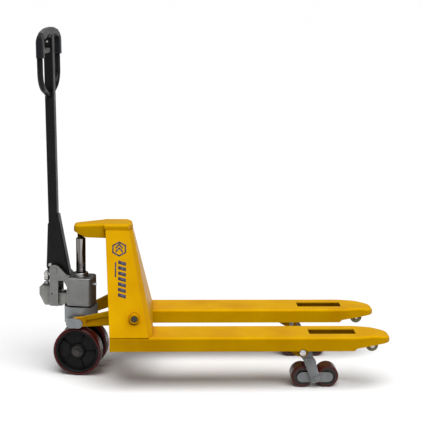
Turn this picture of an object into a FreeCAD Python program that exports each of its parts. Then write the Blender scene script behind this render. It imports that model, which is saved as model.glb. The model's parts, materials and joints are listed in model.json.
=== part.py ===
import FreeCAD, Part
import math
import os

# Hand pallet jack, raised, with its steering turned a little.
# X runs from the handle to the fork tips, Y to the operator's left, Z up. All lengths are in mm.
# Every part is drawn about the ram's axis (X = 0, Y = 0, floor Z = 0) and moved to the frame at the end.

V = FreeCAD.Vector

# Forks
FORK_SPREAD = 540.0
FORK_WIDTH = 160.0
FORK_TOP = 200.0
FORK_DEPTH = 51.0
FORK_REAR = 111.0
FORK_TIP = 1121.0
TIP_START = 1000.0
TIP_HALF = 44.0
SHEET = 4.0
LOAD_START = 275.0
FORK_Y = FORK_SPREAD / 2 - FORK_WIDTH / 2
FORK_LOW = FORK_TOP - FORK_DEPTH

# Lift: the forks come down by this much
LIFT = 115.0

# Inclined head that joins the forks
HEAD_TOP = 548.0
CAP_TOP = 566.0
HEAD_HALF_TOP = 58.0
HEAD_REAR_LOW, HEAD_REAR_HIGH = 111.0, 92.0
HEAD_FOLD_LOW, HEAD_FOLD_HIGH = 249.0, 176.0
HEAD_BEND_LOW, HEAD_BEND_HIGH = 17.0, 14.0
HEAD_SHEET = 5.0
SCREW_Z = 543.0

# Rocker that turns the lift of the head into the push of the rods
SHAFT_X, SHAFT_Z, SHAFT_R = 198.5, 262.0, 12.0
SEAT_PIVOT_X, SEAT_PIVOT_Z = -8.0, 203.0
ROD_ARM = 75.0
ROCKER_TURN = 31.1

# Load wheels
YOKE_X, YOKE_Z = 802.0, 138.0
BOGIE_X, BOGIE_Z = 851.0, 38.0
LOAD_R, LOAD_WIDTH, LOAD_BASE = 40.0, 70.0, 92.0
YOKE_TURN = 71.6
ROD_PIN_ARM = 35.0
YOKE_PIN_R = 8.0

# Small rollers in the fork tips
ENTRY_X, ENTRY_Z, ENTRY_R, ENTRY_HALF = 1055.0, 158.0, 22.5, 37.0

# Pump and steering
RAM_R = 18.0
RAM_TOP = 506.0
WHEEL_R, WHEEL_WIDTH, WHEEL_TRACK = 90.0, 50.0, 105.0
STEER_REST = -10.7
PUMP_BACK, PUMP_FRONT, PUMP_HALF = -43.0, 50.0, 48.0
PUMP_LOW, PUMP_HIGH = 258.0, 361.0
STEM_R = 24.0
SEAT_LOW, SEAT_HIGH = 183.0, 252.0
PLUNGER_X, PLUNGER_ROLLER_Z = -129.5, 366.0

LEVER_PIN = (-84.0, 294.0)

# Handle
PIVOT_X, PIVOT_Z, PIVOT_R = -89.5, 388.0, 8.0
HANDLE_LEAN = 0.97
TUBE_X = -98.3
TUBE_SIDE = 33.5
ARM_X = TUBE_X - 2
BRACKET_HALF = 22.5
GRIP_Y = 122.0
LOOP_R = 10.5
ARM_TOP = 1224.0
HANDLE_TOP = 1274.0
LEVER_Z = 1224.0
BOLT_R = 4.0
BRACKET_BOLTS = ((-110.8, 404.0), (TUBE_X, 470.0), (TUBE_X, 540.0))

# Gap between a shaft and the hole it turns in
RUNNING = 0.05


# ---------------------------------------------------------------- shapes

def box(x, y, z):
    return Part.makeBox(x[1] - x[0], y[1] - y[0], z[1] - z[0], V(x[0], y[0], z[0]))


def cyl_x(y, z, r, x0, x1):
    return Part.makeCylinder(r, x1 - x0, V(x0, y, z), V(1, 0, 0))


def cyl_y(x, z, r, y0, y1):
    return Part.makeCylinder(r, y1 - y0, V(x, y0, z), V(0, 1, 0))


def cyl_z(x, y, r, z0, z1):
    return Part.makeCylinder(r, z1 - z0, V(x, y, z0), V(0, 0, 1))


def ring_y(x, z, outer, inner, y0, y1):
    return cyl_y(x, z, outer, y0, y1).cut(cyl_y(x, z, inner, y0 - 1, y1 + 1))


def ring_z(outer, inner, z0, z1):
    return cyl_z(0, 0, outer, z0, z1).cut(cyl_z(0, 0, inner, z0 - 1, z1 + 1))


def rounded(before, point, after, radius):
    """Start, middle and end of the arc that rounds one corner of an outline."""
    q = V(point[0], point[1], 0)
    u = (V(before[0], before[1], 0) - q).normalize()
    w = (V(after[0], after[1], 0) - q).normalize()
    half = u.getAngle(w) / 2
    reach = radius / math.tan(half)
    inward = (u + w).normalize()
    middle = q + inward * (radius / math.sin(half) - radius)
    return q + u * reach, middle, q + w * reach


def outline(points, place):
    """Closed wire through (a, b) or (a, b, corner radius) points, set in space by place(a, b)."""
    stops = []
    count = len(points)
    for i, point in enumerate(points):
        if len(point) == 3:
            arc = rounded(points[i - 1], point, points[(i + 1) % count], point[2])
            stops.append([place(p.x, p.y) for p in arc])
        else:
            stops.append([place(point[0], point[1])])
    edges = []
    for i, stop in enumerate(stops):
        if len(stop) == 3:
            edges.append(Part.Arc(*stop).toShape())
        ahead = stops[(i + 1) % count][0]
        if (ahead - stop[-1]).Length > 1e-6:
            edges.append(Part.makeLine(stop[-1], ahead))
    return Part.Wire(edges)


def prism_xz(points, y0, y1):
    wire = outline(points, lambda a, b: V(a, y0, b))
    return Part.Face(wire).extrude(V(0, y1 - y0, 0))


def prism_xy(points, z0, z1):
    wire = outline(points, lambda a, b: V(a, b, z0))
    return Part.Face(wire).extrude(V(0, 0, z1 - z0))


def prism_yz(points, x0, x1):
    wire = outline(points, lambda a, b: V(x0, a, b))
    return Part.Face(wire).extrude(V(x1 - x0, 0, 0))


def link(first, last, r1, r2, y0, y1):
    """Flat bar with round ends about two (x, z) centres."""
    a = V(first[0], first[1], 0)
    b = V(last[0], last[1], 0)
    along = (b - a).normalize()
    across = V(-along.y, along.x, 0)
    cosine = (r1 - r2) / (b - a).Length
    sine = math.sqrt(1 - cosine * cosine)
    up = along * cosine + across * sine
    down = along * cosine - across * sine
    corners = [a + up * r1, b + up * r2, b + down * r2, a + down * r1]
    plate = prism_xz([(p.x, p.y) for p in corners], y0, y1)
    return fuse([plate, cyl_y(a.x, a.y, r1, y0, y1), cyl_y(b.x, b.y, r2, y0, y1)])


def fuse(shapes):
    whole = shapes[0]
    for shape in shapes[1:]:
        whole = whole.fuse(shape)
    return whole.removeSplitter()


def cut(shape, *tools):
    for tool in tools:
        shape = shape.cut(tool)
    return shape


def upright_edges(shape, low_x, high_x):
    """Edges that stand along Z between two X positions."""
    found = []
    for edge in shape.Edges:
        box_ = edge.BoundBox
        if box_.XLength < 0.01 and box_.YLength < 0.01 and low_x < box_.XMin < high_x:
            found.append(edge)
    return found


def level_edges(shape, z):
    """Edges that lie at one height."""
    return [e for e in shape.Edges if e.BoundBox.ZLength < 0.01 and abs(e.BoundBox.ZMin - z) < 0.01]


def mirrored(shape):
    return shape.mirror(V(0, 0, 0), V(0, 1, 0))


def both(shape):
    """A left-hand shape with its right-hand twin, as separate solids."""
    return Part.makeCompound([shape, mirrored(shape)])


def steered(shape):
    return shape.rotated(V(0, 0, 0), V(0, 0, 1), STEER_REST)


def leaned(shape):
    """The handle leans a little to the operator about its pivot, then turns with the steering."""
    tipped = shape.rotated(V(PIVOT_X, 0, PIVOT_Z), V(0, 1, 0), -HANDLE_LEAN)
    return steered(tipped)


# ---------------------------------------------------------------- forks

def fork_block(inset):
    """Outer form of a fork, or with an inset the form of its hollow, about Y = 0."""
    half = FORK_WIDTH / 2 - inset
    tip_half = TIP_HALF - inset
    tip = FORK_TIP - inset
    rear = FORK_REAR - (inset > 0)
    low = FORK_LOW - (inset > 0)
    high = FORK_TOP - inset
    turn = 41 - inset
    plan = [(rear, -half), (TIP_START, -half, 150), (tip, -tip_half, turn), (tip, tip_half, turn),
            (TIP_START, half, 150), (rear, half)]
    side = [(rear, low), (986, low), (995, low + 9, 8), (tip, 171), (tip, 190 - inset, 12),
            (1060, high, 120), (rear, high)]
    if inset:
        side = [(rear, low), (tip, low), (tip, 190 - inset, 12), (1060, high, 120), (rear, high)]
    block = prism_xy(plan, low, high)
    return block.common(prism_xz(side, -half - 1, half + 1))


def fork_ear(offset):
    """Ear that carries the load-wheel pin, on the side of the fork given by the offset."""
    ear = prism_xz([(742, FORK_TOP - 2), (742, FORK_LOW), (YOKE_X - 16, YOKE_Z - 14, 10),
                    (YOKE_X + 20, YOKE_Z - 12, 12), (YOKE_X + 22, FORK_TOP - 2)], offset, offset + 5)
    return fuse([ear, cyl_y(YOKE_X, YOKE_Z, 17, offset, offset + 5)])


def fork():
    """Left fork: a pressed channel, open below, with a roller opening and a tapered tip."""
    outer = fork_block(0)
    rim = [e for e in level_edges(outer, FORK_TOP) if e.BoundBox.XLength > 50 and abs(e.BoundBox.YMax) > 50]
    outer = outer.makeFillet(9, rim)
    shell = outer.cut(fork_block(SHEET))
    ears = [fork_ear(offset) for offset in (52, -57)]
    tip_ears = []
    for offset in (-ENTRY_HALF - 4.5, ENTRY_HALF + 1.5):
        tip_ears.append(link((ENTRY_X, ENTRY_Z), (ENTRY_X, 186), 9, 13, offset, offset + 3))
        tip_ears.append(box((ENTRY_X - 13, ENTRY_X + 13), (offset, offset + 3), (186, 197)))
    shell = fuse([shell] + ears + tip_ears)
    opening = prism_xy([(827, -33, 4), (996, -33, 4), (996, 33, 4), (827, 33, 4)], 190, FORK_TOP + 5)
    rocker_room = box((FORK_REAR + 8, 246), (-38, 44), (FORK_TOP - 8, FORK_TOP + 5))
    shell = cut(shell, opening, rocker_room, cyl_y(YOKE_X, YOKE_Z, 18, 74, 90),
                cyl_y(YOKE_X, YOKE_Z, YOKE_PIN_R, -60, 60), cyl_y(ENTRY_X, ENTRY_Z, 5, -60, 60))
    return divided(shell, LOAD_START).translated(V(0, FORK_Y, 0))


def divided(shape, x):
    """The same solid with its faces parted at one X, so that the load face ahead of it is its own."""
    behind = shape.common(box((0, x), (-400, 400), (0, 900)))
    ahead = shape.common(box((x, 1300), (-400, 400), (0, 900)))
    return behind.fuse(ahead)


def yoke_pin():
    pin = cyl_y(YOKE_X, YOKE_Z, YOKE_PIN_R, FORK_Y - 60, FORK_Y + 60)
    head = cyl_y(YOKE_X, YOKE_Z, 11.5, FORK_Y + 60, FORK_Y + 64)
    return fuse([pin, head])


def entry_pin():
    reach = ENTRY_HALF + 9
    return fuse([cyl_y(ENTRY_X, ENTRY_Z, 5, FORK_Y - reach, FORK_Y + reach),
                 cyl_y(ENTRY_X, ENTRY_Z, 8, FORK_Y + ENTRY_HALF + 4.5, FORK_Y + reach)])


def entry_roller():
    roller = cyl_y(ENTRY_X, ENTRY_Z, ENTRY_R, FORK_Y - ENTRY_HALF, FORK_Y + ENTRY_HALF)
    roller = roller.makeFillet(2.5, [e for e in roller.Edges if e.Closed])
    return roller.cut(cyl_y(ENTRY_X, ENTRY_Z, 5 + RUNNING, FORK_Y - 60, FORK_Y + 60))


# ---------------------------------------------------------------- head

def head_block(inset):
    """Solid that the head's sheet wraps, or with an inset the solid inside it."""
    slope = (FORK_SPREAD / 2 - HEAD_HALF_TOP) / (HEAD_TOP - FORK_TOP)
    side = inset * math.sqrt(1 + slope * slope)

    def section(z, half, rear, fold, bend):
        back = rear - 20 * (inset > 0)
        face = fold + bend - inset
        wide = half - side
        turn = 2 * bend
        points = [(back, -wide), (fold - inset * 0.6, -wide), (face, -wide + turn), (face, wide - turn),
                  (fold - inset * 0.6, wide), (back, wide)]
        return Part.makePolygon([V(a, b, z) for a, b in points + points[:1]])

    low = section(FORK_TOP, FORK_SPREAD / 2, HEAD_REAR_LOW, HEAD_FOLD_LOW, HEAD_BEND_LOW)
    high = section(HEAD_TOP, HEAD_HALF_TOP, HEAD_REAR_HIGH, HEAD_FOLD_HIGH, HEAD_BEND_HIGH)
    return Part.makeLoft([low, high], True, True)


def head_sheet():
    shell = head_block(0).cut(head_block(HEAD_SHEET))
    return shell.cut(cyl_y(SHAFT_X, SHAFT_Z, 17, -300, 300))


def head_side():
    """Left inclined side plate, with its bent front edge."""
    keep = prism_xy([(0, 36), (400, 36), (400, 400), (0, 400)], 0, 900)
    front = head_front_room()
    return head_sheet().common(keep).cut(front)


def head_front_room():
    """Space of the front plate: between its two bends, ahead of the side plates."""
    low_half = FORK_SPREAD / 2 - 2 * HEAD_BEND_LOW
    high_half = HEAD_HALF_TOP - 2 * HEAD_BEND_HIGH
    low = Part.makePolygon([V(x, y, FORK_TOP) for x, y in
                            ((240, -low_half), (300, -low_half), (300, low_half), (240, low_half),
                             (240, -low_half))])
    high = Part.makePolygon([V(x, y, HEAD_TOP) for x, y in
                             ((164, -high_half), (224, -high_half), (224, high_half), (164, high_half),
                              (164, -high_half))])
    return Part.makeLoft([low, high], True, True)


def head_front():
    return head_sheet().common(head_front_room())


def head_cap():
    """Plate that closes the head and carries the horn."""
    fold = HEAD_FOLD_HIGH
    plan = [(HEAD_REAR_HIGH - 4, -HEAD_HALF_TOP), (fold, -HEAD_HALF_TOP), (fold + 14, -30), (fold + 14, 30),
            (fold, HEAD_HALF_TOP), (HEAD_REAR_HIGH - 4, HEAD_HALF_TOP)]
    cap = prism_xy(plan, HEAD_TOP, CAP_TOP)
    rim = [e for e in level_edges(cap, CAP_TOP) if e.BoundBox.XMax > HEAD_REAR_HIGH]
    return cap.makeFillet(11, rim)


def lifting_horn():
    """Hollow bracket from the head to the top of the ram."""
    root = HEAD_REAR_HIGH - 4
    plan = [(-24.5, -30, 20), (root, -50), (152, -50), (152, 50), (root, 50), (-24.5, 30, 20)]
    side = [(-24.5, 536), (19.5, 514.5), (152, 514.5), (152, HEAD_TOP), (root, HEAD_TOP), (root, CAP_TOP),
            (-24.5, 558, 12)]
    horn = prism_xy(plan, 500, CAP_TOP + 1).common(prism_xz(side, -60, 60))
    rims = [e for e in horn.Edges if e.BoundBox.ZMin > 550 and e.BoundBox.XLength > 60]
    horn = horn.makeFillet(9, rims)
    hollow = prism_xy([(26, -27), (root, -43), (160, -43), (160, 43), (root, 43), (26, 27)], 500, 544)
    return cut(horn, hollow, cyl_z(0, 0, 12, 500, 549), cyl_x(0, SCREW_Z, 4, -30, 0))


def horn_screw():
    """Socket set screw that keeps the horn on the ram."""
    socket = prism_yz([(2.3 * math.cos(a), SCREW_Z + 2.3 * math.sin(a)) for a in hexagon()], -24, -19)
    return cyl_x(0, SCREW_Z, 4, -23, -12.2).cut(socket)


def hexagon():
    return [math.radians(60 * i) for i in range(6)]


def shaft_boss():
    return ring_y(SHAFT_X, SHAFT_Z, 17, SHAFT_R, 212, 250)


def rocker_shaft():
    shaft = cyl_y(SHAFT_X, SHAFT_Z, SHAFT_R, -248, 248)
    rims = [e for e in shaft.Edges if e.Closed]
    return shaft.makeChamfer(1.5, rims)


def cross_member():
    """Square tube that ties the two forks under the head."""
    reach = FORK_SPREAD / 2 - FORK_WIDTH
    outer = box((222, 252), (-reach, reach), (160, 190))
    return outer.cut(box((225, 249), (-reach - 1, reach + 1), (163, 187)))


def ram():
    body = cyl_z(0, 0, RAM_R, 300, RAM_TOP)
    body = body.makeChamfer(3, level_edges(body, RAM_TOP))
    return fuse([body, cyl_z(0, 0, 12, RAM_TOP - 5, 549)])


# ---------------------------------------------------------------- bearing seat

def bearing_seat():
    """Cast ring between the steering unit and the rocker arms, with a fork for each arm."""
    ring = cyl_z(0, 0, 62, SEAT_LOW + 6, SEAT_HIGH)
    ring = fuse([ring, cyl_z(0, 0, 50, SEAT_LOW, SEAT_LOW + 8)])
    parts = [ring]
    for side in (1, -1):
        low, high = sorted((side * 50, side * 100))
        lug = link((-34, 206), (SEAT_PIVOT_X, SEAT_PIVOT_Z), 18, 16, low, high)
        parts.append(lug)
    seat = fuse(parts)
    for side in (1, -1):
        low, high = sorted((side * 67, side * 88))
        seat = seat.cut(box((-42, 60), (low, high), (150, 260)))
    pin = cyl_y(SEAT_PIVOT_X, SEAT_PIVOT_Z, 7, 62, 93)
    seat = fuse([seat, pin, mirrored(pin)])
    return seat.cut(cyl_z(0, 0, STEM_R + RUNNING, 150, 300))


def thrust_bearing():
    return ring_z(44, 30, SEAT_HIGH, PUMP_LOW - 2)


# ---------------------------------------------------------------- steering unit

def pump_cheek():
    """Left cheek that carries the handle's pivot pin, with its triangular window."""
    plate = prism_xz([(-108, 253, 4), (-107, 388), (-93, 402), (-75.5, 402.5), (-36, 362.5, 4), (-36, 262),
                      (-60, 253)], 35, 46)
    hub = cyl_y(PIVOT_X, PIVOT_Z, 19, 35, 46)
    window = prism_xz([(-77.5, 240), (-77.5, 351, 5), (-57, 351, 8), (-50, 340, 10), (-43, 327), (-43, 240)],
                      30, 50)
    return cut(fuse([plate, hub]), window, cyl_y(PIVOT_X, PIVOT_Z, PIVOT_R, 30, 50),
               cyl_y(-100, 299, 3.5, 40, 50))


def pump_body():
    """Cast reservoir with the ram's bore, the handle's cheeks and the stem down to the wheel axle."""
    body = box((PUMP_BACK, PUMP_FRONT), (-PUMP_HALF, PUMP_HALF), (PUMP_LOW, PUMP_HIGH))
    body = body.makeFillet(17, upright_edges(body, 0, 100))
    body = body.makeFillet(8, upright_edges(body, -100, 0))
    body = body.makeFillet(5, level_edges(body, PUMP_HIGH))
    body = fuse([body, cyl_z(0, 0, 40, PUMP_LOW - 2, PUMP_LOW + 2), cyl_z(0, 0, STEM_R, 66, PUMP_LOW + 2),
                 pump_cheek(), mirrored(pump_cheek())])
    return cut(body, cyl_z(0, 0, RAM_R + RUNNING, 184, 400), cyl_y(0, WHEEL_R, 10, -60, 60),
               cyl_x(0, 331, 5, 20, 60), box((-54, PUMP_BACK), (-35, 35), (200, 361)))


def ram_collar():
    low = ring_z(33, RAM_R + RUNNING, PUMP_HIGH, PUMP_HIGH + 4)
    high = ring_z(27, RAM_R + RUNNING, PUMP_HIGH + 4, PUMP_HIGH + 15)
    collar = fuse([low, high])
    return collar.makeChamfer(2, [e for e in level_edges(collar, PUMP_HIGH + 15) if e.Length > 150])


def filler_plug():
    head = prism_yz([(7 * math.cos(a), 331 + 7 * math.sin(a)) for a in hexagon()], PUMP_FRONT, PUMP_FRONT + 7)
    return fuse([head, cyl_x(0, 331, 5, PUMP_FRONT - 14, PUMP_FRONT)])


def piston_block():
    """Block with the pump plunger's bore and the pocket of its return spring."""
    block = prism_xz([(-150, 322, 3), (-150, 292, 3), (-139, 270, 3), (-130, 253, 4), (-96, 253), (-96, 308, 6),
                      (-116, 322, 3)], -34, 34)
    block = block.cut(cyl_z(PLUNGER_X, 0, 13, 298, 330))
    return block.cut(cyl_z(PLUNGER_X, 0, 6 + RUNNING, 270, 300))


def valve_block():
    """Release valve, between the piston block and the reservoir."""
    block = prism_xz([(-96, 255), (-62, 255, 5), (PUMP_BACK, 266), (PUMP_BACK, 298), (-96, 298)], -30, 30)
    boss = cyl_z(-81, 0, 13, 246, 256)
    block = cut(fuse([block, boss]), box((-90, -58), (-12, 12), (288, 300)))
    return fuse([block, cyl_y(*LEVER_PIN, 2.5, -12, 12)])


def wheel_axle():
    return cyl_y(0, WHEEL_R, 10, -(WHEEL_TRACK + WHEEL_WIDTH) / 2 - 6, (WHEEL_TRACK + WHEEL_WIDTH) / 2 + 6)


def axle_cap():
    """Left washer and retaining ring on the wheel axle."""
    face = (WHEEL_TRACK + WHEEL_WIDTH) / 2
    return fuse([ring_y(0, WHEEL_R, 15, 10, face - 3, face - 1), ring_y(0, WHEEL_R, 13, 10, face - 1, face + 2)])


def handle_pin():
    pin = cyl_y(PIVOT_X, PIVOT_Z, PIVOT_R, -46, 46)
    ends = [cyl_y(PIVOT_X, PIVOT_Z, 10, 46, 49), cyl_y(PIVOT_X, PIVOT_Z, 10, -49, -46)]
    return fuse([pin] + ends)


def release_chain():
    """Bead chain that pulls the release lever up from inside the handle."""
    low, high, pitch = 312, 366, 6.0
    links = [cyl_z(-70, 0, 1.1, low, high)]
    for i in range(int((high - low) / pitch) + 1):
        links.append(Part.makeSphere(2.5, V(-70, 0, low + i * pitch)))
    return fuse(links)


def release_lever():
    """Small lever on the valve, with an eye for the chain."""
    arm = link(LEVER_PIN, (-70, 303), 5.5, 5.5, -5, 5)
    return arm.cut(cyl_y(*LEVER_PIN, 2.5 + RUNNING, -6, 6))


def steering_tyre():
    """Left tyre, drawn upright on the axle."""
    low, high = wheel_sides()
    tyre = ring_y(0, WHEEL_R, WHEEL_R, 80, low, high)
    return tyre.makeFillet(4, [e for e in tyre.Edges if e.Length > 2 * math.pi * 85 and e.Closed])


def wheel_sides():
    return WHEEL_TRACK / 2 - WHEEL_WIDTH / 2, WHEEL_TRACK / 2 + WHEEL_WIDTH / 2


def steering_hub():
    """Left hub: rim, web with five spokes, and the seats of its two bearings."""
    low, high = wheel_sides()
    middle = (low + high) / 2
    rim = ring_y(0, WHEEL_R, 80, 70, low + 2, high - 2)
    web = cyl_y(0, WHEEL_R, 71, middle - 3, middle + 3)
    boss = cyl_y(0, WHEEL_R, 26, low + 3, high - 4)
    spokes = []
    for i in range(5):
        spoke = box((20, 71), (low + 7, high - 7), (WHEEL_R - 4, WHEEL_R + 4))
        spokes.append(spoke.rotated(V(0, 0, WHEEL_R), V(0, 1, 0), 72 * i))
    hub = fuse([rim, web, boss] + spokes)
    seat = 20 + RUNNING
    return cut(hub, cyl_y(0, WHEEL_R, seat, low, low + 15), cyl_y(0, WHEEL_R, seat, high - 16, high),
               cyl_y(0, WHEEL_R, 12, low, high))


def hub_bearings():
    """The ball bearings of both hubs, tight on the axle."""
    low, high = wheel_sides()
    spans = ((low + 4, low + 15), (high - 16, high - 5))
    rings = [ring_y(0, WHEEL_R, 20, 10, a, b) for a, b in spans]
    return Part.makeCompound(rings + [mirrored(ring) for ring in rings])


def pump_plunger():
    """Plunger with the clevis of the pressing roller."""
    z = PLUNGER_ROLLER_Z
    rod = cyl_z(PLUNGER_X, 0, 6, 290, z - 17)
    plate = cyl_z(PLUNGER_X, 0, 12, z - 21, z - 15)
    ears = [link((PLUNGER_X, z - 16), (PLUNGER_X, z), 7, 5.5, *sides) for sides in ((11, 14), (-14, -11))]
    trim = cyl_z(PLUNGER_X, 0, 15, z - 21, z + 10)
    ears = [e.common(trim) for e in ears]
    return fuse([rod, plate] + ears + [cyl_y(PLUNGER_X, z, 3, -13, 13)])


def pressing_roller():
    return ring_y(PLUNGER_X, PLUNGER_ROLLER_Z, 10, 3 + RUNNING, -10.5, 10.5)


def plunger_spring():
    """Return spring, drawn as the sleeve that its coils fill."""
    sleeve = cyl_z(PLUNGER_X, 0, 11.5, 298, PLUNGER_ROLLER_Z - 21)
    return sleeve.cut(cyl_z(PLUNGER_X, 0, 8.5, 290, 360))


# ---------------------------------------------------------------- handle

def handle_bracket():
    """Tapered channel, open to the operator, that holds the tube and turns on the pivot pin."""
    profile = [(-117.6, 556.6), (-121, 497), (-123.8, 447), (-126.4, 395, 8), (-118.9, 375, 6),
               (PIVOT_X, PIVOT_Z - 20, 12), (-38.5, 363, 3), (-40.5, 376, 8), (-77.5, 594)]
    outer = prism_xz(profile, -BRACKET_HALF, BRACKET_HALF)
    outer = outer.makeFillet(8, [e for e in outer.Edges if e.Length > 200])
    inner = TUBE_SIDE / 2 + 0.25
    room = prism_xz([(-200, 300), (-43.5, 300), (-43.5, 364), (-87, 620), (-200, 620)], -inner, inner)
    toe = prism_xz(profile, -inner, inner).common(box((-130, -104), (-20, 20), (360, 424)))
    barrel = cyl_y(PIVOT_X, PIVOT_Z, 13, -34.5, 34.5)
    nose = cyl_y(-117, 377.2, 6, -12, 12)
    holes = [cyl_y(x, z, BOLT_R, -40, 40) for x, z in BRACKET_BOLTS]
    half = TUBE_SIDE / 2
    tube_room = box((TUBE_X - half, TUBE_X + half), (-half, half), (440, 700))
    return cut(fuse([outer.cut(room), toe, barrel, nose]), tube_room,
               cyl_y(PIVOT_X, PIVOT_Z, PIVOT_R + RUNNING, -40, 40), *holes)


def bracket_bolts():
    """Bolts through the bracket's cheeks, two of them through the tube as well."""
    bolts = []
    for x, z in BRACKET_BOLTS:
        shank = cyl_y(x, z, BOLT_R, -BRACKET_HALF, BRACKET_HALF)
        span = (BRACKET_HALF, BRACKET_HALF + 4.5)
        heads = [cyl_y(x, z, BOLT_R + 3, *sorted((side * span[0], side * span[1]))) for side in (1, -1)]
        bolts.append(fuse([shank] + heads))
    return Part.makeCompound(bolts)


def handle_tube():
    half = TUBE_SIDE / 2
    x = (TUBE_X - half, TUBE_X + half)
    outer = box(x, (-half, half), (440, HANDLE_TOP - 28))
    outer = outer.makeFillet(4.5, upright_edges(outer, -200, 0))
    hollow = box((x[0] + 3, x[1] - 3), (-half + 3, half - 3), (430, HANDLE_TOP - 20))
    tube = outer.cut(hollow)
    holes = [cyl_y(x, z, BOLT_R, -40, 40) for x, z in BRACKET_BOLTS[1:]]
    return cut(tube, cyl_y(TUBE_X, LEVER_Z, 4, -40, 40), *holes)


def loop_arm():
    """Left arm of the loop: a tube from the handle's side up into the grip."""
    start = V(ARM_X, 6, 1027)
    bend = (GRIP_Y, 1072)
    arc = rounded((start.y, start.z), bend, (GRIP_Y, 1250), 68)
    a, m, b = [V(ARM_X, p.x, p.y) for p in arc]
    path = Part.Wire([Part.makeLine(start, a), Part.Arc(a, m, b).toShape(),
                      Part.makeLine(b, V(ARM_X, GRIP_Y, ARM_TOP))])
    aim = (a - start).normalize()
    outer = path.makePipe(Part.Face(Part.Wire(Part.makeCircle(LOOP_R, start, aim))))
    inner = path.makePipe(Part.Face(Part.Wire(Part.makeCircle(LOOP_R - 2.5, start, aim))))
    half = TUBE_SIDE / 2
    return cut(outer, inner, box((TUBE_X - 20, TUBE_X + 20), (-half, half), (1000, 1060)))


def grip():
    """Left grip: an oval sleeve on the arm, closed and domed at its top."""
    low, high = 1171, 1259
    sleeve = prism_xy([(TUBE_X - 14, GRIP_Y - 16, 8), (TUBE_X + 14, GRIP_Y - 16, 8),
                       (TUBE_X + 14, GRIP_Y + 16, 12.5), (TUBE_X - 14, GRIP_Y + 16, 12.5)], low, high)
    side = [(GRIP_Y - 16, low), (GRIP_Y + 14, low), (GRIP_Y + 16, 1215, 60), (GRIP_Y + 8, 1250, 16),
            (GRIP_Y - 16, high)]
    sleeve = sleeve.common(prism_yz(side, TUBE_X - 30, TUBE_X + 30)).common(dome(high, 200))
    return sleeve.cut(cyl_z(ARM_X, GRIP_Y, LOOP_R, 1160, ARM_TOP))


def dome(high, reach):
    """Space under the rounded top of the handle's head, seen from the side."""
    half = [(15, high - 52, 100), (12.5, high - 30, 50), (5, high, 6)]
    left = [(TUBE_X - a, b, r) for a, b, r in reversed(half)]
    right = [(TUBE_X + a, b, r) for a, b, r in half]
    return prism_xz([(TUBE_X - 15, 1100), (TUBE_X + 15, 1100)] + right + left, -reach, reach)


def head_bridge():
    """Cover that spans the two grips over the tube's end."""
    inner = GRIP_Y - 16
    half = TUBE_SIDE / 2
    right = [(half + 3, 1238), (half + 3, 1254, 4), (half + 30, 1250, 30), (inner, 1234, 4), (inner, 1259),
             (58, 1270.5, 150), (14, HANDLE_TOP, 150)]
    left = [(-point[0], *point[1:]) for point in reversed(right)]
    cover = prism_yz(right + left, TUBE_X - 16, TUBE_X + 16).common(dome(HANDLE_TOP, 200))
    return cover.cut(box((TUBE_X - half, TUBE_X + half), (-half, half), (1200, HANDLE_TOP - 28)))


def control_lever():
    """Lever astride the tube, with a finger bar across the right-hand opening."""
    near = TUBE_SIDE / 2
    high = near + 6
    ledge = (LEVER_Z - 17, LEVER_Z - 5)
    parts = [box((TUBE_X - near - 9, TUBE_X - near - 4), (-high, high), ledge)]
    for side in (1, -1):
        parts.append(cyl_y(TUBE_X, LEVER_Z, 8, *sorted((side * (near + 0.5), side * high))))
        parts.append(box((TUBE_X - near - 9, TUBE_X), sorted((side * high, side * (high - 5))), ledge))
    parts.append(link((TUBE_X, LEVER_Z), (TUBE_X - 1, 1193), 8, 8, -high, -near - 0.5))
    bar = box((TUBE_X - 12, TUBE_X + 8.5), (18 - GRIP_Y, -near - 0.5), (1184, 1201))
    parts.append(bar.makeFillet(3, [e for e in bar.Edges if e.BoundBox.YLength > 50]))
    return fuse(parts).cut(cyl_y(TUBE_X, LEVER_Z, 4 + RUNNING, -60, 60))


def lever_pin():
    return cyl_y(TUBE_X, LEVER_Z, 4, -TUBE_SIDE / 2 - 8, TUBE_SIDE / 2 + 8)


# ---------------------------------------------------------------- rocker and rods

def rod_joint():
    """Centre of the rocker's rod pin with the forks raised, as (x, z)."""
    turn = math.radians(ROCKER_TURN / 2)
    return SHAFT_X + ROD_ARM * math.sin(turn), SHAFT_Z - ROD_ARM * math.cos(turn)


def yoke_joint():
    """Centre of the yoke's rod pin with the forks raised, as (x, z)."""
    turn = math.radians(YOKE_TURN / 2)
    return YOKE_X + ROD_PIN_ARM * math.sin(turn), YOKE_Z + ROD_PIN_ARM * math.cos(turn)


def rocker_arm():
    """Left arm, splayed from the bearing seat to the rocker tube."""
    plan = [(-30, 71), (2, 71), (122, 131), (222, 146), (222, 164), (116, 149), (16, 86), (-30, 86)]
    side = [(SEAT_PIVOT_X - 23, SEAT_PIVOT_Z - 10, 14), (10, 189, 20), (110, 211, 60), (214, 240, 18),
            (224, 266, 20), (190, 292, 30), (110, 262, 60), (10, 226, 20), (SEAT_PIVOT_X - 23, 220, 14)]
    arm = prism_xy(plan, 150, 320).common(prism_xz(side, 60, 180))
    groove = prism_xz([(20, 203), (108, 226), (108, 246), (20, 214)], 60, 180)
    groove = groove.common(prism_xy([(22, 85), (116, 145), (222, 160), (222, 190), (22, 190)], 150, 320))
    arm = arm.cut(groove)
    slot_z = SEAT_PIVOT_Z + 1.2
    slot = link((SEAT_PIVOT_X, slot_z), (SEAT_PIVOT_X + 8.2, slot_z), 8.9, 8.9, 60, 100)
    return cut(arm, slot, cyl_y(SHAFT_X, SHAFT_Z, 20, 60, 300))


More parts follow.
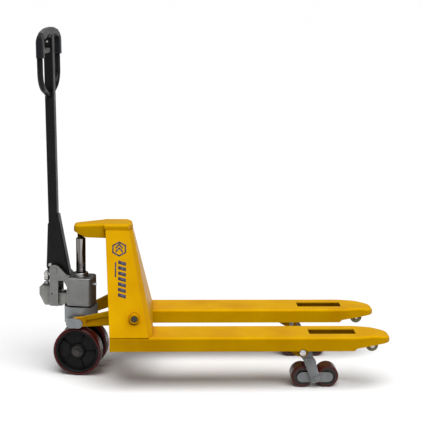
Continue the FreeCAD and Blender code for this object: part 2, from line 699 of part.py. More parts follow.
def rocker_tube():
    """Tube that turns on the rocker shaft, with a short lever inside each fork for the push rod."""
    tube = cyl_y(SHAFT_X, SHAFT_Z, 20, -208, 208)
    levers = []
    for side in (1, -1):
        for near in (176, 196):
            low, high = sorted((side * near, side * (near + 8)))
            levers.append(link((SHAFT_X, SHAFT_Z), rod_joint(), 22, 13, low, high))
        low, high = sorted((side * 176, side * 204))
        levers.append(cyl_y(*rod_joint(), 7, low, high))
    return fuse([tube] + levers).cut(cyl_y(SHAFT_X, SHAFT_Z, SHAFT_R + RUNNING, -300, 300))


def push_rod():
    """Left push rod, from the rocker's lever to the yoke."""
    x0, z0 = rod_joint()
    x1, z1 = yoke_joint()
    low, high = 185.5, 194.5
    bar = prism_xz([(x0, z0 - 8), (x0 + 24, z0 - 19), (x1 - 4, z1 - 9), (x1 - 4, z1 + 9), (x0 + 30, z0 - 2),
                    (x0, z0 + 8)], low, high)
    rear = cyl_y(x0, z0, 12, low, high)
    slot_x = x1 - 0.3
    front = link((slot_x, z1 - 0.5), (slot_x, z1 + 9.8), 11.4, 11.4, low, high)
    slot = link((slot_x, z1 - 0.5), (slot_x, z1 + 9.8), 7.4, 7.4, low - 1, high + 1)
    return cut(fuse([bar, rear, front]), slot, cyl_y(x0, z0, 7 + RUNNING, low - 1, high + 1))


# ---------------------------------------------------------------- load wheels

def wheel_yoke():
    """Left yoke: two cheeks from the fork's pin to the bogie's pin, with the rod's lugs between them."""
    top = (YOKE_X, YOKE_Z)
    foot = (BOGIE_X, BOGIE_Z)
    knee = (YOKE_X + 33, YOKE_Z - 42)
    parts = [cyl_y(YOKE_X, YOKE_Z, 12.5, FORK_Y - 50, FORK_Y + 50)]
    for side in (1, -1):
        inner, step, outer = side * 42, side * 46, side * 50
        upper = link(top, knee, 16, 18, *sorted((FORK_Y + inner, FORK_Y + step)))
        span = sorted((FORK_Y + inner, FORK_Y + outer))
        lower = prism_xz([(811, 113, 2), (847, 113, 4), (867, 41), (835, 34), (811, 94, 10)], *span)
        parts += [upper, lower, cyl_y(*foot, 16, *span)]
        near, far = sorted((FORK_Y + side * 6, FORK_Y + side * 14))
        parts.append(link(top, yoke_joint(), 15, 11, near, far))
        low, high = sorted((FORK_Y + side * 36.5, FORK_Y + side * 53))
        parts.append(cyl_y(*foot, 7, low, high))
    parts.append(cyl_y(*yoke_joint(), 6, FORK_Y - 14, FORK_Y + 14))
    yoke = fuse(parts)
    return yoke.cut(cyl_y(*top, YOKE_PIN_R + RUNNING, FORK_Y - 60, FORK_Y + 60))


def bogie():
    """Left pair of bogie plates with the two roller axles between them."""
    plates = []
    half = LOAD_BASE / 2
    for side in (1, -1):
        low, high = sorted((FORK_Y + side * 36, FORK_Y + side * 41))
        plate = link((BOGIE_X - half, LOAD_R), (BOGIE_X + half, LOAD_R), 18, 18, low, high)
        plates.append(plate.cut(cyl_y(BOGIE_X, BOGIE_Z, 7 + RUNNING, low - 1, high + 1)))
    axles = [cyl_y(BOGIE_X + s * half, LOAD_R, 8, FORK_Y - 41, FORK_Y + 41) for s in (1, -1)]
    return fuse(plates + axles)


def load_roller(step):
    """Roller of the left bogie, ahead of its pin (step 1) or behind it (step -1)."""
    x = BOGIE_X + step * LOAD_BASE / 2
    half = LOAD_WIDTH / 2
    roller = cyl_y(x, LOAD_R, LOAD_R, FORK_Y - half, FORK_Y + half)
    roller = roller.makeFillet(3, [e for e in roller.Edges if e.Closed])
    recesses = [ring_y(x, LOAD_R, 30, 12, *span) for span in
                ((FORK_Y - half - 1, FORK_Y - half + 4), (FORK_Y + half - 4, FORK_Y + half + 1))]
    return cut(roller, cyl_y(x, LOAD_R, 8 + RUNNING, FORK_Y - 60, FORK_Y + 60), *recesses)


# ---------------------------------------------------------------- all nodes

def paired(name, left, turn=None):
    """A left-hand part and its mirrored twin, as two nodes."""
    pair = {name + "_left": left, name + "_right": mirrored(left)}
    return {key: turn(shape) for key, shape in pair.items()} if turn else pair


def chassis_nodes():
    nodes = {"head_front": head_front(), "head_cap": head_cap(), "lifting_horn": lifting_horn(),
             "horn_screw": horn_screw(), "shaft_bosses": both(shaft_boss()), "rocker_shaft": rocker_shaft(),
             "cross_member": cross_member(), "ram": ram(), "yoke_pins": both(yoke_pin()),
             "entry_pins": both(entry_pin())}
    nodes.update(paired("fork", fork()))
    nodes.update(paired("head_side", head_side()))
    nodes.update(paired("entry_roller", entry_roller()))
    return nodes


def linkage_nodes():
    nodes = {"bearing_seat": bearing_seat(), "thrust_bearing": thrust_bearing(),
             "rocker_tube": rocker_tube()}
    nodes.update(paired("rocker_arm", rocker_arm()))
    nodes.update(paired("push_rod", push_rod()))
    nodes.update(paired("wheel_yoke", wheel_yoke()))
    nodes.update(paired("bogie", bogie()))
    nodes.update(paired("load_roller_front", load_roller(1)))
    nodes.update(paired("load_roller_rear", load_roller(-1)))
    return nodes


def steering_nodes():
    straight = {"pump_body": pump_body(), "ram_collar": ram_collar(), "filler_plug": filler_plug(),
                "piston_block": piston_block(), "valve_block": valve_block(), "wheel_axle": wheel_axle(),
                "axle_caps": both(axle_cap()), "hub_bearings": hub_bearings(), "handle_pin": handle_pin(),
                "release_chain": release_chain(), "release_lever": release_lever(),
                "pump_plunger": pump_plunger(), "pressing_roller": pressing_roller(),
                "plunger_spring": plunger_spring()}
    nodes = {name: steered(shape) for name, shape in straight.items()}
    nodes.update(paired("steering_tyre", steering_tyre(), steered))
    nodes.update(paired("steering_hub", steering_hub(), steered))
    return nodes


def handle_nodes():
    upright = {"handle_bracket": handle_bracket(), "bracket_bolts": bracket_bolts(),
               "handle_tube": handle_tube(), "head_bridge": head_bridge(),
               "control_lever": control_lever(), "lever_pin": lever_pin()}
    nodes = {name: leaned(shape) for name, shape in upright.items()}
    nodes.update(paired("loop_arm", loop_arm(), leaned))
    nodes.update(paired("grip", grip(), leaned))
    return nodes


def all_nodes():
    nodes = {}
    for group in (chassis_nodes(), linkage_nodes(), steering_nodes(), handle_nodes()):
        nodes.update(group)
    return nodes


def middle_x(shapes):
    """X of the middle of the whole machine."""
    boxes = [shape.BoundBox for shape in shapes]
    return (min(b.XMin for b in boxes) + max(b.XMax for b in boxes)) / 2


def main():
    os.makedirs("parts", exist_ok=True)
    nodes = all_nodes()
    shift = middle_x(nodes.values())
    print("nodes", len(nodes), "ram axis at x =", round(-shift, 4))
    for name, shape in nodes.items():
        placed = shape.translated(V(-shift, 0, 0))
        if not placed.isValid():
            print("not valid:", name)
        placed.exportStep(os.path.join("parts", name + ".step"))


if __name__ == "__main__":
    main()
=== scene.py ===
import json
import math
import random

import bmesh
import bpy
from mathutils import Matrix, Vector


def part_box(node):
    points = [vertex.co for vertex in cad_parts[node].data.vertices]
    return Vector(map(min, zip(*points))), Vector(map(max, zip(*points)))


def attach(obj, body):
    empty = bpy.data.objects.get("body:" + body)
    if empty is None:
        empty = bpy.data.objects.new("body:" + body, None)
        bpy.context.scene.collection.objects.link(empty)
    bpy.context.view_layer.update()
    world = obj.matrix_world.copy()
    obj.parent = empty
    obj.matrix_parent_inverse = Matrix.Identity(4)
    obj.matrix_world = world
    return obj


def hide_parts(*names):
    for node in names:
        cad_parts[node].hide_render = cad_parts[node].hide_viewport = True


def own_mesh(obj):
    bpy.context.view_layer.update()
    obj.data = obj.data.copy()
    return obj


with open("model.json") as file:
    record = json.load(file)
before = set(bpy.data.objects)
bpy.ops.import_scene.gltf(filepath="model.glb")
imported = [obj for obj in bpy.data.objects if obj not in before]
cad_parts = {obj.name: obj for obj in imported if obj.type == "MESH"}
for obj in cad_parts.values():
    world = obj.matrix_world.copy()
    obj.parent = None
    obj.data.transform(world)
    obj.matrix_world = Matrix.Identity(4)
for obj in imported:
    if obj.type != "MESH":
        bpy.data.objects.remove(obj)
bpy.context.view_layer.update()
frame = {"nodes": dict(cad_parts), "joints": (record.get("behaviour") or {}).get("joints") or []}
NODES = frame["nodes"]
JOINTS = {joint["name"]: joint for joint in frame["joints"]}
MM = 0.001
TREAD = 10.0              # mm of polyurethane on a steering wheel
HALF_TRACK = 52.5         # mm from the ram's axis to the middle of a steering wheel
FACE_WEIGHT = 60          # how far the larger faces lead the shading
SIXTHS = [math.pi * k / 3 for k in range(6)]
bpy.context.scene.view_settings.view_transform = "Standard"


# ---------------------------------------------------------------- places

def corners(node):
    low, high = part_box(node)
    return low, high, (low + high) / 2


def joint_place(name):
    """Centre and axis of a hinge, at rest."""
    joint = JOINTS[name]
    return Vector(joint["pos_m"]), Vector(joint["axis"]).normalized()


RAM = Vector(JOINTS["steering"]["pos_m"])
ACROSS = joint_place("handle_tilt")[1]
AHEAD = ACROSS.cross(Vector((0, 0, 1)))
STRAIGHT = Matrix.Translation(RAM)


def straight(x, y, z):
    """A point of the chassis, in mm from the ram's foot."""
    return STRAIGHT @ Vector((x * MM, y * MM, z * MM))


def rgb(red, green, blue):
    return (red, green, blue, 1.0)


# ---------------------------------------------------------------- node materials

class Recipe:
    """A procedural material, built node by node on the object's own coordinates."""

    def __init__(self, name):
        self.material = bpy.data.materials.new(name)
        self.material.use_nodes = True
        self.tree = self.material.node_tree
        self.shader = self.tree.nodes["Principled BSDF"]
        self.place = self.add("ShaderNodeTexCoord").outputs["Object"]

    def add(self, kind, **inputs):
        node = self.tree.nodes.new(kind)
        for key, value in inputs.items():
            self.feed(node.inputs[key.replace("_", " ")], value)
        return node

    def feed(self, socket, value):
        if isinstance(value, bpy.types.NodeSocket):
            self.tree.links.new(value, socket)
        else:
            socket.default_value = value

    def stretched(self, scale):
        node = self.add("ShaderNodeMapping", Vector=self.place)
        node.inputs["Scale"].default_value = scale
        return node.outputs["Vector"]

    def noise(self, scale, detail=3.0, where=None):
        node = self.add("ShaderNodeTexNoise", Vector=where or self.place, Scale=scale,
                        Detail=detail)
        return node.outputs["Fac"]

    def cells(self, scale):
        node = self.add("ShaderNodeTexVoronoi", Vector=self.place, Scale=scale)
        return node.outputs["Distance"]

    def ramp(self, factor, low, high, start=0.3, end=0.7):
        node = self.add("ShaderNodeMapRange", Value=factor)
        node.inputs["From Min"].default_value = start
        node.inputs["From Max"].default_value = end
        node.inputs["To Min"].default_value = low
        node.inputs["To Max"].default_value = high
        return node.outputs["Result"]

    def mix(self, factor, first, second, mode="MIX"):
        node = self.tree.nodes.new("ShaderNodeMix")
        node.data_type = "RGBA"
        node.blend_type = mode
        self.feed(node.inputs["Factor"], factor)
        self.feed(node.inputs["A"], first)
        self.feed(node.inputs["B"], second)
        return node.outputs["Result"]

    def edges(self, radius):
        """1 on sharp edges, 0 on flats, from the bend between the true and the rounded normal."""
        geometry = self.add("ShaderNodeNewGeometry")
        rounded = self.add("ShaderNodeBevel", Radius=radius)
        rounded.samples = 4
        bend = self.tree.nodes.new("ShaderNodeVectorMath")
        bend.operation = "DOT_PRODUCT"
        self.feed(bend.inputs[0], geometry.outputs["Normal"])
        self.feed(bend.inputs[1], rounded.outputs["Normal"])
        return self.ramp(bend.outputs["Value"], 0.0, 1.0, 0.985, 0.86)

    def hollows(self, distance):
        """1 in the open, towards 0 in corners and recesses: the mask for painted shade."""
        node = self.add("ShaderNodeAmbientOcclusion", Distance=distance)
        node.samples = 6
        return node.outputs["AO"]

    def bump(self, height, strength, distance, under=None):
        node = self.add("ShaderNodeBump", Height=height, Strength=strength, Distance=distance)
        if under is not None:
            self.feed(node.inputs["Normal"], under)
        return node.outputs["Normal"]

    def finish(self, **inputs):
        for key, value in inputs.items():
            self.feed(self.shader.inputs[key.replace("_", " ")], value)
        return self.material


def enamel(name, light, dark, edge, wear_and_highlight=0.5, roughness=(0.34, 0.48),
           shine=(0.12, rgb(1.0, 0.62, 0.05))):
    """Sprayed enamel: slight orange peel, cloudy tone, edges lightened by wear and a painted
    highlight, and painted shade in the corners.
    """
    m = Recipe(name)
    colour = m.mix(m.ramp(m.noise(7.0, 4.0), 0.0, 1.0), light, dark)
    speck = m.ramp(m.noise(420.0, 2.0), 0.0, 0.35, 0.62, 0.78)
    colour = m.mix(speck, colour, dark)
    # painted shade: the paint darkens towards its own dark tone in corners and recesses
    painted_shade = m.ramp(m.hollows(0.03), 0.8, 0.0, 0.2, 0.95)
    colour = m.mix(painted_shade, colour, dark, "MULTIPLY")
    # edges lightened: partly wear, partly a painted highlight along every bend
    rubbed_and_highlit = m.add("ShaderNodeMath", Value=m.edges(0.0018))
    rubbed_and_highlit.operation = "MULTIPLY"
    m.feed(rubbed_and_highlit.inputs[1], m.ramp(m.noise(38.0, 5.0), 0.15 * wear_and_highlight, wear_and_highlight, 0.4, 0.6))
    colour = m.mix(rubbed_and_highlit.outputs["Value"], colour, edge)
    peel = m.bump(m.noise(520.0, 2.0), 0.10, 0.0006)
    peel = m.bump(m.noise(60.0, 2.0), 0.10, 0.0012, peel)
    gloss = m.ramp(m.noise(24.0, 4.0), *roughness)
    return m.finish(Base_Color=colour, Roughness=gloss, Normal=peel,
                    Specular_IOR_Level=shine[0], Specular_Tint=shine[1])


def casting(name, light, dark, grain=0.5, metal=0.75, roughness=(0.34, 0.5)):
    """Cast and zinc-sprayed iron: sandy skin, mottled tone, edges lightened by wear and a painted
    highlight, corners darkened with painted shade.
    """
    m = Recipe(name)
    colour = m.mix(m.ramp(m.noise(22.0, 5.0), 0.0, 1.0), light, dark)
    colour = m.mix(m.ramp(m.noise(260.0, 3.0), 0.0, 0.5, 0.45, 0.75), colour, dark)
    # painted shade: the iron goes nearly black in corners and recesses
    painted_shade = m.ramp(m.hollows(0.018), 0.85, 0.0, 0.2, 0.95)
    colour = m.mix(painted_shade, colour, rgb(0.05, 0.045, 0.04))
    # painted highlight on every edge, together with some wear
    colour = m.mix(m.ramp(m.edges(0.0016), 0.0, 0.65, 0.0, 1.0), colour, rgb(0.72, 0.72, 0.70))
    skin = m.bump(m.noise(380.0, 4.0), 0.28 * grain, 0.0012)
    skin = m.bump(m.noise(70.0, 3.0), 0.22 * grain, 0.003, skin)
    gloss = m.ramp(m.noise(55.0, 4.0), *roughness)
    return m.finish(Base_Color=colour, Metallic=metal, Roughness=gloss, Normal=skin)


def turned(name, tone, dark, stretch, roughness=(0.22, 0.36), metal=1.0, lines=0.35):
    """Machined metal with fine tool lines along or round the piece."""
    m = Recipe(name)
    along = m.stretched(stretch)
    line = m.noise(1.0, 3.0, along)
    colour = m.mix(m.ramp(line, 0.0, 1.0, 0.35, 0.7), tone, dark)
    # painted shade: the metal goes nearly black in corners and recesses
    colour = m.mix(m.ramp(m.hollows(0.012), 0.7, 0.0, 0.2, 0.9), colour, rgb(0.03, 0.028, 0.025))
    skin = m.bump(line, lines, 0.0003)
    gloss = m.ramp(m.noise(90.0, 3.0), *roughness)
    return m.finish(Base_Color=colour, Metallic=metal, Roughness=gloss, Normal=skin)


def polyurethane(name, light, dark, dust):
    """Cast polyurethane tread: deep colour, soft gloss, scuffs and dust."""
    m = Recipe(name)
    colour = m.mix(m.ramp(m.noise(16.0, 4.0), 0.0, 1.0), light, dark)
    scuff = m.ramp(m.noise(150.0, 6.0), 0.0, 0.55, 0.55, 0.75)
    colour = m.mix(scuff, colour, dust)
    skin = m.bump(m.noise(300.0, 4.0), 0.16, 0.0006)
    gloss = m.ramp(m.noise(40.0, 4.0), 0.24, 0.46)
    return m.finish(Base_Color=colour, Roughness=gloss, Normal=skin, Subsurface_Weight=0.12,
                    Subsurface_Scale=0.004, Coat_Weight=0.1, Coat_Roughness=0.2,
                    Specular_IOR_Level=0.3)


def moulded(name, light, dark, pebble=320.0, strength=0.25, roughness=(0.42, 0.6), sheen=0.0):
    """Moulded plastic or rubber with a fine pebbled skin."""
    m = Recipe(name)
    colour = m.mix(m.ramp(m.noise(30.0, 4.0), 0.0, 1.0), light, dark)
    # edges lightened: partly wear, partly a painted highlight
    rubbed_and_highlit = rgb(*[min(1, 2.2 * c) for c in light[:3]])
    colour = m.mix(m.ramp(m.edges(0.0016), 0.0, 0.4, 0.0, 1.0), colour, rubbed_and_highlit)
    skin = m.bump(m.cells(pebble), strength, 0.0005)
    gloss = m.ramp(m.noise(60.0, 3.0), *roughness)
    return m.finish(Base_Color=colour, Roughness=gloss, Normal=skin, Sheen_Weight=sheen,
                    Specular_IOR_Level=0.2)


def polished_rod():
    """Hard chrome on the ram: long soft bands of painted reflection round it and an oily film."""
    m = Recipe("ram_chrome")
    painted_reflections = m.noise(1.0, 1.0, m.stretched((95.0, 95.0, 0.4)))
    colour = m.mix(m.ramp(painted_reflections, 0.0, 1.0, 0.42, 0.58), rgb(0.50, 0.485, 0.48),
                   rgb(0.12, 0.105, 0.10))
    smear = m.ramp(m.noise(30.0, 5.0, m.stretched((1.0, 1.0, 0.2))), 0.08, 0.24)
    skin = m.bump(m.noise(1.0, 2.0, m.stretched((60.0, 60.0, 2500.0))), 0.04, 0.0002)
    return m.finish(Base_Color=colour, Metallic=1.0, Roughness=smear, Normal=skin)


def printed():
    """Screen-printed ink of the plain mark."""
    m = Recipe("ink")
    colour = m.mix(m.ramp(m.noise(120.0, 4.0), 0.0, 1.0), rgb(0.045, 0.047, 0.085),
                   rgb(0.075, 0.065, 0.09))
    skin = m.bump(m.noise(500.0, 2.0), 0.1, 0.0003)
    return m.finish(Base_Color=colour, Roughness=m.ramp(m.noise(200.0), 0.35, 0.5), Normal=skin)


def dusty_floor():
    m = Recipe("floor_white")
    colour = m.mix(m.ramp(m.noise(1.3, 4.0), 0.0, 1.0), rgb(0.96, 0.96, 0.96),
                   rgb(0.93, 0.93, 0.932))
    return m.finish(Base_Color=colour, Roughness=m.ramp(m.noise(6.0), 0.7, 0.85))


YELLOW = enamel("yellow_enamel", rgb(0.71, 0.385, 0.0), rgb(0.60, 0.29, 0.0),
                rgb(0.92, 0.58, 0.02))
WELD = enamel("yellow_weld", rgb(0.70, 0.36, 0.0), rgb(0.46, 0.2, 0.0), rgb(0.9, 0.56, 0.03), 0.9)
BLACK = enamel("black_enamel", rgb(0.006, 0.006, 0.006), rgb(0.003, 0.003, 0.003),
               rgb(0.05, 0.05, 0.05), 0.5, (0.34, 0.46), (0.2, rgb(1.0, 1.0, 1.0)))
BODY_IRON = casting("pump_iron", rgb(0.27, 0.27, 0.262), rgb(0.20, 0.20, 0.197), 0.5)
BLOCK_IRON = casting("block_iron", rgb(0.40, 0.40, 0.37), rgb(0.25, 0.25, 0.235),
                     1.2, 0.6, (0.42, 0.6))
SEAT_IRON = casting("seat_iron", rgb(0.34, 0.36, 0.365), rgb(0.24, 0.26, 0.27),
                    0.8, 0.6, (0.4, 0.55))
YOKE_IRON = casting("yoke_iron", rgb(0.25, 0.26, 0.265), rgb(0.15, 0.155, 0.16),
                    0.8, 0.6, (0.36, 0.5))
ZINC = turned("zinc_plate", rgb(0.62, 0.61, 0.59), rgb(0.36, 0.35, 0.34), (160.0, 160.0, 160.0))
COLLAR = turned("collar_steel", rgb(0.42, 0.42, 0.43), rgb(0.25, 0.25, 0.25), (40.0, 40.0, 900.0))
DARK_STEEL = turned("dark_steel", rgb(0.075, 0.07, 0.068), rgb(0.035, 0.032, 0.03),
                    (220.0, 220.0, 220.0), (0.3, 0.45), 0.8)
CHROME = polished_rod()
RED_TREAD = polyurethane("red_tread", rgb(0.105, 0.002, 0.003), rgb(0.045, 0.001, 0.002),
                         rgb(0.15, 0.02, 0.015))
BROWN_TREAD = polyurethane("brown_tread", rgb(0.10, 0.009, 0.004), rgb(0.045, 0.004, 0.002),
                           rgb(0.2, 0.07, 0.05))
HUB_BLACK = moulded("hub_black", rgb(0.008, 0.008, 0.008), rgb(0.005, 0.005, 0.005),
                    420.0, 0.2, (0.45, 0.6))
NYLON = moulded("nylon", rgb(0.50, 0.47, 0.27), rgb(0.36, 0.33, 0.18), 200.0, 0.12, (0.35, 0.5))
GRIP_BLACK = moulded("grip_rubber", rgb(0.009, 0.010, 0.015), rgb(0.005, 0.006, 0.008),
                     520.0, 0.5, (0.4, 0.55), 0.15)
LEVER_BLACK = moulded("lever_black", rgb(0.008, 0.008, 0.008), rgb(0.005, 0.005, 0.005),
                      420.0, 0.2)
BRIDGE_GREY = moulded("bridge_grey", rgb(0.15, 0.15, 0.147), rgb(0.10, 0.10, 0.10),
                      420.0, 0.25, (0.4, 0.52))
INK = printed()

FINISHES = {
    YELLOW: ["fork_left", "fork_right", "head_side_left", "head_side_right", "head_front",
             "head_cap", "lifting_horn", "shaft_bosses", "cross_member", "rocker_tube",
             "rocker_arm_left", "rocker_arm_right", "push_rod_left", "push_rod_right"],
    BLACK: ["handle_bracket", "handle_tube", "loop_arm_left", "loop_arm_right"],
    BODY_IRON: ["pump_body", "handle_pin"],
    BLOCK_IRON: ["piston_block", "valve_block"],
    SEAT_IRON: ["bearing_seat"],
    YOKE_IRON: ["wheel_yoke_left", "wheel_yoke_right", "bogie_left", "bogie_right"],
    ZINC: ["filler_plug", "release_lever", "pump_plunger", "pressing_roller", "yoke_pins",
           "entry_pins", "lever_pin"],
    COLLAR: ["ram_collar"],
    DARK_STEEL: ["rocker_shaft", "horn_screw", "thrust_bearing", "release_chain", "axle_caps",
                 "wheel_axle", "hub_bearings"],
    CHROME: ["ram"],
    NYLON: ["entry_roller_left", "entry_roller_right"],
    GRIP_BLACK: ["grip_left", "grip_right"],
    BRIDGE_GREY: ["head_bridge"],
    LEVER_BLACK: ["control_lever"],
}
# Rounding of each node's sharp edges, in mm, where it isn't the usual one
USUAL_ROUNDING = 0.7
ROUNDING = {
    "head_bridge": 1.2, "control_lever": 1.2, "piston_block": 1.5, "valve_block": 1.2,
    "bearing_seat": 2.0, "wheel_yoke_left": 1.2, "wheel_yoke_right": 1.2, "bogie_left": 1.2,
    "bogie_right": 1.2, "handle_tube": 0.8, "handle_bracket": 1.2, "rocker_arm_left": 1.5,
    "rocker_arm_right": 1.5, "lifting_horn": 1.6, "release_chain": 0.0, "ram": 0.0,
    "entry_roller_left": 1.5, "entry_roller_right": 1.5, "fork_left": 0.9, "fork_right": 0.9,
    "grip_left": 1.5, "grip_right": 1.5, "pump_body": 1.3, "loop_arm_left": 0.0,
    "loop_arm_right": 0.0, "hub_bearings": 0.4, "axle_caps": 0.5,
}
FINGER_BAR_HEIGHT = 0.018  # the grey part of the control lever, up from its foot


def even_shading(obj):
    """Shading led by the larger faces, so that flats stay flat beside their rounded edges."""
    smooth = obj.modifiers.new("shading", "WEIGHTED_NORMAL")
    smooth.weight = FACE_WEIGHT
    return smooth


def soften(obj, width, angle=32.0):
    """Joins the mesh's patches, merges its flats and rounds its sharp edges."""
    obj.data.polygons.foreach_set("use_smooth", [True] * len(obj.data.polygons))
    weld = obj.modifiers.new("joined", "WELD")
    weld.merge_threshold = 1e-5
    flat = obj.modifiers.new("flats", "DECIMATE")
    flat.decimate_type = "DISSOLVE"
    flat.angle_limit = math.radians(0.5)
    if width > 0:
        bevel = obj.modifiers.new("rounded", "BEVEL")
        bevel.width = width * MM
        bevel.segments = 2
        bevel.limit_method = "ANGLE"
        bevel.angle_limit = math.radians(angle)
        bevel.harden_normals = False
    even_shading(obj).keep_sharp = False


def dress_nodes():
    for material, names in FINISHES.items():
        for name in names:
            mesh = NODES[name].data
            mesh.materials.clear()
            mesh.materials.append(material)
            soften(NODES[name], ROUNDING.get(name, USUAL_ROUNDING))
    finger_bar()


def finger_bar():
    """The lever's finger bar is grey, its hub and plates are black."""
    lever = NODES["control_lever"]
    grey_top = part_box("control_lever")[0].z + FINGER_BAR_HEIGHT
    lever.data.materials.append(BRIDGE_GREY)
    for face in lever.data.polygons:
        middle = lever.matrix_world @ face.center
        face.material_index = int(middle.z < grey_top)


# ---------------------------------------------------------------- new pieces

def piece(name, vertices, faces, material, body, slot, stands_for=()):
    """A new mesh that rides on a body, in place of the CAD nodes it stands for."""
    mesh = bpy.data.meshes.new(name)
    mesh.from_pydata([tuple(v) for v in vertices], [], faces)
    mesh.validate()
    tidy = bmesh.new()
    tidy.from_mesh(mesh)
    bmesh.ops.recalc_face_normals(tidy, faces=tidy.faces)
    tidy.to_mesh(mesh)
    tidy.free()
    mesh.polygons.foreach_set("use_smooth", [True] * len(mesh.polygons))
    mesh.materials.append(material)
    obj = bpy.data.objects.new(name, mesh)
    bpy.context.scene.collection.objects.link(obj)
    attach(obj, body)
    if stands_for:
        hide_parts(*stands_for)
    return obj


def rounded_profile(points, radius, steps=3):
    """A closed (along, radius) outline with its corners rounded."""
    out = []
    count = len(points)
    for i, (a, b) in enumerate(points):
        here = Vector((a, b))
        back = Vector(points[i - 1]) - here
        on = Vector(points[(i + 1) % count]) - here
        r = min(radius, back.length * 0.45, on.length * 0.45)
        start, end = here + back.normalized() * r, here + on.normalized() * r
        for k in range(steps + 1):
            t = k / steps
            out.append(start * (1 - t) ** 2 + here * 2 * t * (1 - t) + end * t ** 2)
    return out


def axes_for(axis):
    side = Vector((0, 0, 1)).cross(axis).normalized()
    if side.length < 0.5:
        side = Vector((1, 0, 0))
    return side, axis.cross(side)


def lathe_data(profile, centre, axis, turns=96):
    """Ring of a closed profile, given in mm as (along, radius), about a centre and axis."""
    u, w = axes_for(axis)
    vertices, faces = [], []
    count = len(profile)
    for k in range(turns):
        a = 2 * math.pi * k / turns
        out = u * math.cos(a) + w * math.sin(a)
        vertices += [centre + axis * (p[0] * MM) + out * (p[1] * MM) for p in profile]
    for k in range(turns):
        here, there = k * count, ((k + 1) % turns) * count
        for i in range(count):
            j = (i + 1) % count
            faces.append((here + i, here + j, there + j, there + i))
    return vertices, faces


def lathe(name, profile, centre, axis, material, body, slot, stands_for=(), radius=1.2, turns=96):
    data = lathe_data(rounded_profile(profile, radius), centre, axis, turns)
    obj = piece(name, *data, material, body, slot, stands_for)
    even_shading(obj)
    return obj


def joined(blocks):
    """One vertex and face list out of several."""
    vertices, faces = [], []
    for more_vertices, more_faces in blocks:
        start = len(vertices)
        vertices += more_vertices
        faces += [tuple(start + i for i in face) for face in more_faces]
    return vertices, faces


def tube_data(points, radius, sides=10, closed=False, ripple=0.0, pitch=0.0045, seed=3):
    """Round bead along a line of points, with the ripples of a weld if asked."""
    rng = random.Random(seed)
    path = resampled(points, 0.0011 if ripple else 0.004, closed)
    vertices, faces = [], []
    count = len(path)
    travelled = 0.0
    up = Vector((0.13, 0.21, 0.97)).normalized()
    for i, p in enumerate(path):
        ahead = path[(i + 1) % count] if closed or i + 1 < count else p
        behind = path[i - 1] if closed or i else p
        along = (ahead - behind).normalized()
        travelled += (p - behind).length if i else 0.0
        side = along.cross(up).normalized()
        lift = side.cross(along)
        wave = ripple * math.sin(2 * math.pi * travelled / pitch)
        swell = 1 + wave + ripple * rng.uniform(-0.5, 0.5)
        for k in range(sides):
            a = 2 * math.pi * k / sides
            out = side * math.cos(a) + lift * math.sin(a)
            vertices.append(p + out * (radius * MM * swell))
    for i in range(count if closed else count - 1):
        here, there = i * sides, ((i + 1) % count) * sides
        for k in range(sides):
            m = (k + 1) % sides
            faces.append((here + k, here + m, there + m, there + k))
    if not closed:
        faces.append(tuple(range(sides)))
        faces.append(tuple((count - 1) * sides + k for k in reversed(range(sides))))
    return vertices, faces


def resampled(points, step, closed):
    """Points at an even spacing along straight runs."""
    stops = list(points) + ([points[0]] if closed else [])
    out = []
    for a, b in zip(stops, stops[1:]):
        parts = max(1, round((b - a).length / step))
        out += [a.lerp(b, k / parts) for k in range(parts)]
    return out if closed else out + [stops[-1]]


def prism_data(outline, low, high, place):
    """Closed block over an outline of (a, b), between two heights, set by place(a, b, height)."""
    count = len(outline)
    vertices = [place(a, b, low) for a, b in outline] + [place(a, b, high) for a, b in outline]
    faces = [tuple(reversed(range(count))), tuple(range(count, 2 * count))]
    for i in range(count):
        j = (i + 1) % count
        faces.append((i, j, count + j, count + i))
    return vertices, faces


# ---------------------------------------------------------------- wheels

def steering_wheels():
    """Bonded tread and ribbed hub of each steering wheel."""
    for side, name in ((1, "left"), (-1, "right")):
        body = "steering_wheel_" + name
        centre, axis = joint_place(body + "_spin")
        axis = axis if axis.dot(ACROSS) > 0 else -axis
        low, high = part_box("steering_tyre_" + name)
        radius = (high.z - low.z) / 2 / MM
        bond = radius - TREAD
        outward = axis * side
        middle = centre + axis * (side * HALF_TRACK * MM - (centre - RAM).dot(axis))
        tread = [(-25, bond + 0.2), (-25, radius - 5), (-21.5, radius - 0.6), (-9, radius),
                 (9, radius), (21.5, radius - 0.6), (25, radius - 5), (25, bond + 0.2)]
        lathe("tread_" + name, tread, middle, outward, RED_TREAD, body, "red_tyre",
              ["steering_tyre_" + name], 2.0, 128)
        wheel_hub(name, middle, outward, body, bond)


def wheel_hub(name, middle, outward, body, bond):
    """Rim, web and boss of a steering wheel, with five ribs on each face."""
    half_rim = [(22.5, bond), (23.5, bond - 2.5), (23.5, bond - 6.5), (20.5, bond - 8.5),
                (4, bond - 12)]
    rim = rounded_profile(half_rim + [(-a, r) for a, r in reversed(half_rim)], 1.2)
    web = rounded_profile([(-6, bond - 10), (6, bond - 10), (9, 30), (-9, 30)], 1.0)
    boss = rounded_profile([(-21.5, 20.2), (-21.5, 25), (-18, 28), (-8, 31), (8, 31),
                            (16, 28.5), (20.5, 25), (20.5, 20.2)], 1.5)
    blocks = [lathe_data(p, middle, outward) for p in (rim, web, boss)]
    for i in range(5):
        blocks += rib_data(2 * math.pi * i / 5, middle, outward, bond - 9)
    obj = piece("hub_" + name, *joined(blocks), HUB_BLACK, body, "black_hub",
                ["steering_hub_" + name])
    even_shading(obj)


def six_sided_faces(spans, ends_swapped=False):
    """Faces of a bar of six-sided rings, closed at both ends."""
    first, last = range(6), range(6 * spans, 6 * spans + 6)
    if ends_swapped:
        faces = [tuple(reversed(first)), tuple(last)]
    else:
        faces = [tuple(first), tuple(reversed(last))]
    for ring in range(0, 6 * spans, 6):
        for k in range(6):
            m = (k + 1) % 6
            faces.append((ring + k, ring + m, ring + 6 + m, ring + 6 + k))
    return faces


